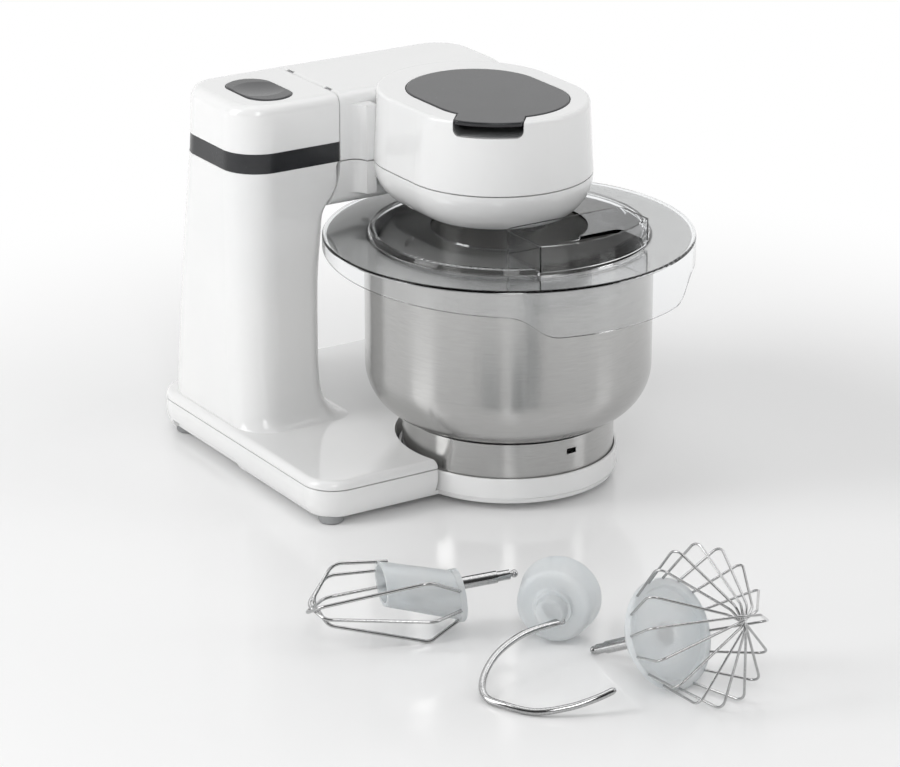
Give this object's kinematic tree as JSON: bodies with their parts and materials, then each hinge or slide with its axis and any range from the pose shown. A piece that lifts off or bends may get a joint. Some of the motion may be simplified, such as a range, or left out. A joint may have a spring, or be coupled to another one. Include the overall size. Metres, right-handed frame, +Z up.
{
  "type": "stand mixer",
  "caption": "Kitchen stand mixer with a tilting arm, planetary drive, steel bowl under a clear lid, and three loose mixing tools laid in front of it.",
  "frame": {"origin": "middle of the overall outline, on the counter", "axes": "+X along the arm from the tower, +Y towards the back, +Z up"},
  "size_m": [0.411, 0.6464, 0.2798],
  "materials": {
    "white_shell": "gloss",
    "graphite": "satin",
    "grey_inner": "satin",
    "bowl_steel": "brushed around",
    "clear_lid": "clear polycarbonate",
    "frosted": "frosted translucent",
    "tool_wire": "polished wire",
    "foot_rubber": "matt",
    "gear_plastic": "moulded",
    "gear_steel": "turned",
    "cast_housing": "die cast",
    "bronze": "sintered",
    "copper": "enamelled wire",
    "laminations": "stamped sheet",
    "carbon": "carbon",
    "board": "circuit board",
    "belt_rubber": "ribbed",
    "spring_steel": "drawn wire",
    "screw_steel": "zinc plated"
  },
  "bodies": {
    "base": {"base_lower_shell": "white_shell", "body_shell": "white_shell", "bowl_socket": "white_shell", "base_feet": "foot_rubber", "base_screws": "screw_steel", "cord_gland": "grey_inner", "tower_band": "graphite", "tower_cap": "white_shell", "hinge_bracket": "cast_housing", "hinge_pin": "gear_steel", "control_board": "board", "switch_body": "grey_inner", "button_spring": "spring_steel"},
    "arm": {"arm_lower_shell": "white_shell", "arm_upper_shell": "white_shell", "arm_screws": "screw_steel", "drive_cup": "grey_inner", "gearbox_housing": "cast_housing", "gearbox_screws": "screw_steel", "main_bearings": "bronze", "ring_gear": "gear_steel", "motor_mount": "grey_inner", "motor_stator": "laminations", "motor_windings": "copper", "motor_end_cap": "grey_inner", "motor_brushes": "carbon", "drive_belt": "belt_rubber"},
    "cover": {"drive_cover": "graphite"},
    "main_drive": {"main_shaft": "gear_steel", "large_pulley": "gear_plastic", "drive_coupling": "gear_plastic"},
    "rotor": {"motor_rotor": "gear_steel", "motor_fan": "grey_inner", "motor_pulley": "gear_plastic"},
    "carrier": {"planet_carrier": "grey_inner"},
    "spindle": {"tool_spindle": "gear_steel"},
    "planet_2": {"planet_gear_2": "gear_plastic"},
    "planet_3": {"planet_gear_3": "gear_plastic"},
    "button": {"release_button": "graphite"},
    "pawl": {"latch_pawl": "grey_inner"},
    "knob": {"speed_knob": "grey_inner"},
    "mixing_bowl": {"bowl": "bowl_steel", "bowl_ring": "bowl_steel"},
    "lid": {"bowl_lid": "clear_lid"},
    "stir_whisk": {"stir_whisk_hub": "frosted", "stir_whisk_shank": "tool_wire", "stir_whisk_wires": "tool_wire"},
    "dough_hook": {"dough_hook_drum": "frosted", "dough_hook_rod": "tool_wire", "dough_hook_shank": "tool_wire"},
    "balloon_whisk": {"balloon_whisk_hub": "frosted", "balloon_whisk_shank": "tool_wire", "balloon_whisk_wires": "tool_wire"}
  },
  "joints": [
    {"name": "arm_tilt", "type": "hinge", "parent": "base", "child": "arm", "pos_m": [-0.00977, 0.22917, 0.272], "axis": [0, -1, 0], "range_deg": [0, 50]},
    {"name": "cover_lift", "type": "slide", "parent": "arm", "child": "cover", "axis": [0, 0, 1], "range_m": [0, 0.03]},
    {"name": "carrier_spin", "type": "hinge", "parent": "arm", "child": "carrier", "pos_m": [0.07233, 0.09817, 0.205], "axis": [0, 0, 1], "continuous": true},
    {"name": "main_spin", "type": "hinge", "parent": "arm", "child": "main_drive", "pos_m": [0.07233, 0.09817, 0.24], "axis": [0, 0, 1], "continuous": true},
    {"name": "rotor_spin", "type": "hinge", "parent": "arm", "child": "rotor", "pos_m": [0.06433, 0.23017, 0.23], "axis": [0, 0, 1], "continuous": true},
    {"name": "spindle_spin", "type": "hinge", "parent": "carrier", "child": "spindle", "pos_m": [0.09183, 0.09817, 0.205], "axis": [0, 0, 1], "continuous": true},
    {"name": "planet_2_spin", "type": "hinge", "parent": "carrier", "child": "planet_2", "pos_m": [0.06258, 0.11506, 0.211], "axis": [0, 0, 1], "continuous": true},
    {"name": "planet_3_spin", "type": "hinge", "parent": "carrier", "child": "planet_3", "pos_m": [0.06258, 0.08128, 0.211], "axis": [0, 0, 1], "continuous": true},
    {"name": "button_press", "type": "slide", "parent": "base", "child": "button", "axis": [0, 0, -1], "range_m": [0, 0.004], "stiffness_N_per_m": 700, "deforming": ["button_spring"]},
    {"name": "pawl_swing", "type": "hinge", "parent": "base", "child": "pawl", "pos_m": [-0.03967, 0.22917, 0.236], "axis": [0, -1, 0], "range_deg": [0, 14.13]},
    {"name": "knob_turn", "type": "hinge", "parent": "base", "child": "knob", "pos_m": [-0.05167, 0.31317, 0.122], "axis": [0, 1, 0], "range_deg": [-40, 140]},
    {"name": "bowl_twist", "type": "hinge", "parent": "base", "child": "mixing_bowl", "pos_m": [0.07233, 0.09817, 0.05], "axis": [0, 0, 1], "range_deg": [-25, 0]},
    {"name": "lid_turn", "type": "hinge", "parent": "mixing_bowl", "child": "lid", "pos_m": [0.07233, 0.09817, 0.185], "axis": [0, 0, 1], "range_deg": [0, 15]},
    {"name": "stir_whisk_lift", "type": "slide", "parent": "base", "child": "stir_whisk", "axis": [0, 0, 1], "range_m": [0, 0.15]},
    {"name": "dough_hook_lift", "type": "slide", "parent": "base", "child": "dough_hook", "axis": [0, 0, 1], "range_m": [0, 0.15]},
    {"name": "balloon_whisk_lift", "type": "slide", "parent": "base", "child": "balloon_whisk", "axis": [0, 0, 1], "range_m": [0, 0.15]}
  ],
  "couplings": [
    {"joint": "main_spin", "follows": "carrier_spin", "ratio": 5.2},
    {"joint": "rotor_spin", "follows": "carrier_spin", "ratio": 31.2},
    {"joint": "spindle_spin", "follows": "carrier_spin", "ratio": -2.625},
    {"joint": "planet_2_spin", "follows": "carrier_spin", "ratio": -2.625},
    {"joint": "planet_3_spin", "follows": "carrier_spin", "ratio": -2.625},
    {"joint": "pawl_swing", "follows": "button_press", "rad_per_m": 61.216}
  ]
}
